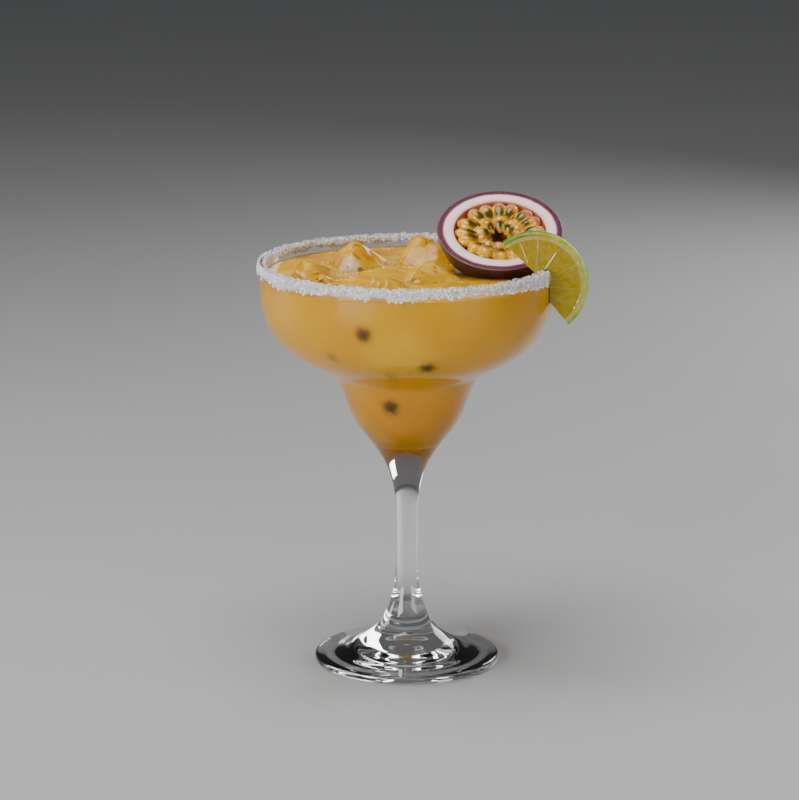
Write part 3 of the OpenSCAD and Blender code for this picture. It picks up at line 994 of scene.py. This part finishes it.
def sac_gel():
    """Juice sac: golden gel, a dark seed showing through, painted shade in the crease under it, a
    red tip.
    """
    feed, where = finish_of(
        "juice sac", (0.6, 0.0012, (1.0, 0.5, 0.05)), IOR=1.4, Coat_Weight=0.5,
        Coat_Roughness=0.03, Roughness=0.2)
    tone = noise(where, 300, 3.0)
    gel = ramp(tone, [(0.32, (0.46, 0.18, 0.0)), (0.5, (0.68, 0.33, 0.0)),
                      (0.66, (0.82, 0.49, 0.0))])
    red = ramp(tone, [(0.3, (0.62, 0.06, 0.04)), (0.65, (0.84, 0.30, 0.22))])
    shade = calc("ADD", own(where, "seed"), times(calc("SUBTRACT", tone, 0.5), 0.5))
    colour = blend(grey(own(where, "tip"), [(0.62, 0.0), (0.86, 0.9)]), gel, red)
    # the seed attribute carries the dark seed and the painted shade in each sac's crease
    colour = blend(grey(shade, [(0.18, 0.0), (0.75, 0.97)]), colour, (0.045, 0.032, 0.001))
    return feed(Base_Color=colour, Normal=relief(noise(where, 600, 2.0), 0.0003, 0.35))


def bed_gel():
    feed, where = finish_of("pulp bed", (0.4, 0.003, (1.0, 0.45, 0.08)), Roughness=0.12)
    # painted shade: the pulp bed darkens to near black round the bottom of the hollow middle
    deep = around(where, FRUIT_PLACE @ Vector((0, 0, -9)) * MM, 0.008, [(0.4, 1.0), (0.9, 0.0)])
    tone = ramp(noise(where, 260, 3.0), [(0.35, (0.40, 0.16, 0.002)), (0.65, (0.80, 0.36, 0.006))])
    return feed(Base_Color=blend(deep, tone, (0.05, 0.025, 0.002)),
                Normal=relief(noise(where, 500, 3.0), 0.0006, 0.6))


SAC_ROWS, SAC_COLS = 17, 18
SAC_GRAIN = 0.36  # the voxel that the sacs melt together in


def sac_shape(long, wide, tone):
    """One plump sac along +x, blunt at its outer end, and its two shades: its share along it, for
    the red tip, and the dark of its seed with painted shade on its underside.
    """
    s = np.linspace(0, 1, SAC_ROWS)
    girth = np.zeros(SAC_ROWS)
    mid = s[1:-1]
    girth[1:-1] = np.sin(np.pi * mid ** 1.25) ** 0.6 * (0.72 + 0.28 * mid)
    a = np.linspace(0, 2 * np.pi, SAC_COLS, endpoint=False)
    x = long * (s - 0.5)[:, None] + 0 * a
    y = wide / 2 * girth[:, None] * np.cos(a)
    z = wide * 0.48 * girth[:, None] * np.sin(a)
    shape = np.stack((x, y, z), 2).reshape(-1, 3)
    shape += 0.16 * np.stack([lumps(shape, 3, tone + k) for k in range(3)], 1)
    seed_at = np.array((-0.10 * long, 0, wide * 0.36))
    away = (shape - seed_at) / (long * 0.27, wide * 0.32, wide * 0.36)
    # painted shade: the lower side of each sac is darkened, where the creases between sacs lie
    painted_crease_shade = 0.62 * np.clip(0.15 - 1.5 * shape[:, 2] / wide, 0, 1)
    return shape, np.repeat(s, SAC_COLS), np.maximum(np.exp(-(away ** 2).sum(1)), painted_crease_shade)


def melt_together(made, shades):
    """Joins a piece's overlapping shapes in one wet skin, and hands its shades on."""
    before = points_of(made.data)
    melt(made, made.data.materials[0], SAC_GRAIN, 0.5, 5)
    near = nearest(before, points_of(made.data))
    for name, values in shades.items():
        give(made.data, name, values[near])


def make_pulp():
    """Rings of juice sacs round a hollow middle, over a bed of pulp."""
    sacs, sac_faces, tips, seed_and_painted_shade = [], [], [], []
    sides = band_faces(SAC_ROWS, SAC_COLS)

    def sac(radius, turn, height, long, wide, tilt, tip, tone):
        shape, along, shade = sac_shape(long, wide, tone)
        place = (Matrix.Rotation(turn, 4, "Z") @ Matrix.Translation((radius, 0, height))
                 @ turn_by(tilt, "Y"))
        start = len(tips)
        sacs.append(shape @ np.array(place.to_3x3()).T + np.array(place.translation))
        sac_faces.extend(tuple(start + k for k in f) for f in sides)
        tips.extend(along * tip)
        seed_and_painted_shade.extend(shade)

    wild = chance.uniform(-1, 1, (60, 6))
    for k in range(16):
        j = wild[k]
        turn = 2 * math.pi * (k + 0.14 * j[1]) / 16
        sac(13.0 + 0.3 * j[0], turn, -2.2 + 0.4 * j[2], 11.2 + 0.5 * j[3], 7.1 + 0.4 * j[4],
            -6 + 5 * j[5], 0.84 + 0.24 * math.sin(turn + 0.5), k)
    for k in range(10):
        j = wild[20 + k]
        sac(6.9 + 0.4 * j[0], 2 * math.pi * (k + 0.5 + 0.15 * j[1]) / 10, -3.2 + 0.4 * j[2],
            8.2 + 0.6 * j[3], 6.0 + 0.4 * j[4], -26 + 6 * j[5], 0.2, 20 + k)
    for k in range(15):
        j = wild[34 + k]
        sac(13.2 + 0.8 * j[0], 2 * math.pi * (k + 0.5 + 0.2 * j[1]) / 15, -6.2 + 0.5 * j[2],
            8.5, 5.4, 8 * j[3], 0.7, 40 + k)
    made = piece_from("passion_sacs", np.concatenate(sacs), sac_faces, sac_gel())
    # the seed shade holds both the seeds and the painted crease shade
    melt_together(made, {"tip": np.array(tips), "seed": np.array(seed_and_painted_shade)})
    move(made.data, FRUIT_PLACE)
    outward(made.data)
    floor = np.linspace(0, 1, 24)
    profile = np.vstack((
        np.stack((floor * (CAVITY_R - 3), -9.4 + 3.6 * np.minimum(1, floor * 1.6) ** 2), 1),
        arc_points((0, 0), (CAVITY_R - 0.1, 0.1 - CAVITY_DEPTH), 36, 90, 14)))
    bed = turned("passion_bed", profile, bed_gel(), 90, FRUIT_PLACE)
    for item in (made, bed):
        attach(item, root)
        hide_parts("passion_pulp")


# ---- the lime
RIND, PITH, WEB = 1.5, 1.3, 0.3
WEB_TURNS = np.radians((0, 44, 77, 107, 136, 161, 180))
TRIM = ((-0.925, 0.045), (0.0, 0.167))


def lime_flesh():
    feed, where = finish_of(
        "lime", (0.5, 0.004, (0.8, 1.0, 0.15)), Coat_Weight=0.5, Coat_Roughness=0.06)
    part = own(where, "part")
    polar = put(where.id_data, "ShaderNodeUVMap", {"uv_map": "polar"}).outputs[0]
    vesicle = vector("MULTIPLY", polar, (30, 7, 1))[0]
    grain = cells(vesicle, 1.0)
    seam = cells(vesicle, 1.0, "DISTANCE_TO_EDGE")
    juice = ramp(grain, [(0.0, (0.42, 0.29, 0.002)), (0.6, (0.28, 0.20, 0.001))])
    juice = blend(grey(seam, [(0.0, 0.22), (0.05, 0.0)]), juice, (0.58, 0.44, 0.05))
    pale = ramp(noise(where, 500, 3.0), [(0.35, (0.33, 0.25, 0.06)), (0.7, (0.46, 0.35, 0.12))])
    rind = ramp(noise(where, 200, 3.0), [(0.35, (0.19, 0.29, 0.0)), (0.65, (0.38, 0.46, 0.0))])
    rind = blend(grey(calc("DIVIDE", parts(polar)[0], 3.2), [(0.66, 0.0), (0.86, 0.9)]),
                 rind, (0.07, 0.17, 0.0))
    is_pale = grey(part, [(0.16, 0.0), (0.55, 1.0)])
    is_rind = grey(part, [(0.70, 0.0), (0.86, 1.0)])
    colour = blend(is_rind, blend(is_pale, juice, pale), rind)
    pores = times(grey(cells(where, 900), [(0.1, 0.0), (0.4, 1.0)]), is_rind)
    sacs = times(grain, grey(part, [(0.2, 1.0), (0.45, 0.0)]))
    return feed(Base_Color=colour,
                Roughness=blend(is_pale, (0.12, 0.12, 0.12), (0.38, 0.38, 0.38)),
                Normal=relief(pores, 0.0003, 0.5, relief(sacs, 0.0005, -0.4)))


def flesh_share(r, turn):
    """1 inside a segment's flesh, falling to 0 over its membranes and pith."""
    away = np.min(np.abs(turn[..., None] - WEB_TURNS[1:-1]), axis=-1)
    inside = np.minimum(away * np.maximum(r, 0.5) - WEB / 2, LIME_R - RIND - PITH - r)
    return np.clip(np.minimum(inside, (r - 1.2) * 0.8) / 0.4, 0, 1)


def make_lime():
    """A half wheel: fine membranes, juicy segments, slit for the lip."""
    turns, rings = 280, 74
    half_t, edge = LIME_T / 2, 0.7
    turn = np.linspace(0, math.pi, turns)
    r_face = np.concatenate(([0.0], np.linspace(0.35, LIME_R - edge, rings)))
    side = [(LIME_R - edge + edge * math.cos(a), half_t - edge + edge * math.sin(a))
            for a in np.radians((66, 40, 15))]
    side += [(LIME_R, z) for z in np.linspace(half_t - edge, -half_t + edge, 9)[1:-1]]
    side += [(r, -z) for r, z in reversed(side[:3])]
    columns = ([(r, half_t, 1) for r in r_face] + [(r, z, 0) for r, z in side]
               + [(r, -half_t, -1) for r in reversed(r_face)])
    points = []
    for r, z, face in columns:
        flesh = flesh_share(np.full(turns, float(r)), turn)
        at = round_axis(r, np.full(turns, face * 3.0), turn)
        sunk = flesh * (0.18 + 0.08 * lumps(at, 2.0))
        points.append(np.stack((at[:, 0], at[:, 1], z - face * sunk), 1))
    grid = np.concatenate(points)
    made = piece_from("lime_wheel", grid, band_faces(len(columns), turns, False), lime_flesh())
    close_cut_face(made.data)
    trim_inner_half(made)
    notch_for_lip(made, LIME_ROOM, LIME_PLACE)
    mesh = made.data
    p = points_of(mesh) / MM
    r = np.hypot(p[:, 0], p[:, 1])
    t = np.arctan2(np.maximum(p[:, 1], 0), p[:, 0])
    in_rind = 0.62 + 0.38 * np.clip((r - LIME_R + RIND + 0.1) / 0.5, 0, 1)
    in_flesh = np.where(r > LIME_R - RIND - PITH, 0.58, 0.25) * (1 - flesh_share(r, t))
    part = np.where(r > LIME_R - RIND, in_rind, in_flesh)
    give(mesh, "part", part)
    flat = mesh.uv_layers.new(name="polar")
    loops = np.empty(len(mesh.loops), int)
    mesh.loops.foreach_get("vertex_index", loops)
    flat.data.foreach_set("uv", np.stack((t[loops], r[loops] / LIME_R), 1).ravel())
    move(mesh, LIME_PLACE)
    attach(made, root)
    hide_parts("lime_slice")


def trim_inner_half(made):
    """Cuts the part inside the glass back to a line a little off the middle."""
    (ax, ay), (bx, by) = (np.array(v) * LIME_R for v in TRIM)
    shape = [(-2 * LIME_R, -LIME_R), (-2 * LIME_R, ay), (ax, ay), (bx, by), (0, -LIME_R)]
    points = [(x, y, z) for z in (-LIME_T, LIME_T) for x, y in shape]
    faces = [(0, 1, 2, 3, 4), (9, 8, 7, 6, 5)] + [(k, k + 5, (k + 1) % 5 + 5, (k + 1) % 5)
                                                 for k in range(5)]
    cutter = piece_from("trimmer", points, faces, made.data.materials[0], smooth=False)
    outward(cutter.data)
    cut_out(made, cutter)


def close_cut_face(mesh):
    """Closes the straight cut of the half wheel with a fan of strips."""
    shape = bmesh.new()
    shape.from_mesh(mesh)
    bmesh.ops.remove_doubles(shape, verts=shape.verts, dist=1e-6)
    rim = [e for e in shape.edges if e.is_boundary]
    bmesh.ops.holes_fill(shape, edges=rim, sides=0)
    bmesh.ops.triangulate(shape, faces=[f for f in shape.faces if len(f.verts) > 4])
    bmesh.ops.recalc_face_normals(shape, faces=shape.faces)
    shape.to_mesh(mesh)
    shape.free()
    mesh.update()


# ---- the studio
FLOOR_HALF, FLOOR_GAP = 6000, 0.3  # half its width, and how far it is under the glass, mm
CAMERA_AT = (0, -1.4, 0.4386)  # in metres
FOCAL_LENGTH, LOOKING_DOWN, CAMERA_ROLL = 160.8, 13.28, 0.12  # mm, degrees, degrees
AIM = Vector((0, 0, 0.12))  # where the lights point
# name, place, size in metres, power in watts
LIGHTS = (("key softbox", (-0.80, -0.95, 0.34), 0.6, 15.5),
          ("fill softbox", (1.0, -0.9, 0.30), 0.6, 7),
          ("left softbox", (-0.9, 0.25, 0.30), 0.35, 3),
          ("rim softbox", (0.6, 0.8, 0.45), 0.45, 5),
          ("top softbox", (-0.1, -0.1, 0.85), 0.5, 5.5))


def make_studio():
    feed, where = finish_of("pale table", Roughness=0.55)
    finish = feed(Base_Color=grey(noise(where, 3, 2.0), [(0.3, 0.43), (0.7, 0.45)]))
    corners = [(x * FLOOR_HALF, y * FLOOR_HALF, -FLOOR_GAP)
               for x, y in ((-1, -1), (1, -1), (1, 1), (-1, 1))]
    floor = piece_from("floor", corners, [(0, 1, 2, 3)], finish, smooth=False)
    world = bpy.data.worlds.new("studio")
    bpy.context.scene.world = world
    world.use_nodes = True
    sky = world.node_tree.nodes["Background"].inputs
    sky["Color"].default_value = (0.92, 0.94, 0.97, 1)
    sky["Strength"].default_value = 0.11
    for name, at, size, power in LIGHTS:
        lamp = bpy.data.lights.new(name, "AREA")
        lamp.energy, lamp.size = power, size
        holder = show(name, lamp)
        holder.location = at
        holder.rotation_euler = (AIM - Vector(at)).to_track_quat("-Z", "Y").to_euler()


def make_camera():
    lens = bpy.data.cameras.new("camera")
    lens.lens, lens.sensor_width = FOCAL_LENGTH, 36
    lens.clip_start = 0.05
    holder = show("camera", lens)
    holder.location = CAMERA_AT
    holder.rotation_euler = (math.radians(90 - LOOKING_DOWN), 0, math.radians(CAMERA_ROLL))
    bpy.context.scene.camera = holder


make_camera()
make_studio()
make_glass()
ice_lumps = make_ice()
make_drink(ice_lumps)
make_froth(ice_lumps)
make_sunk_seeds()
make_salt()
make_fruit_shell()
make_pulp()
make_lime()
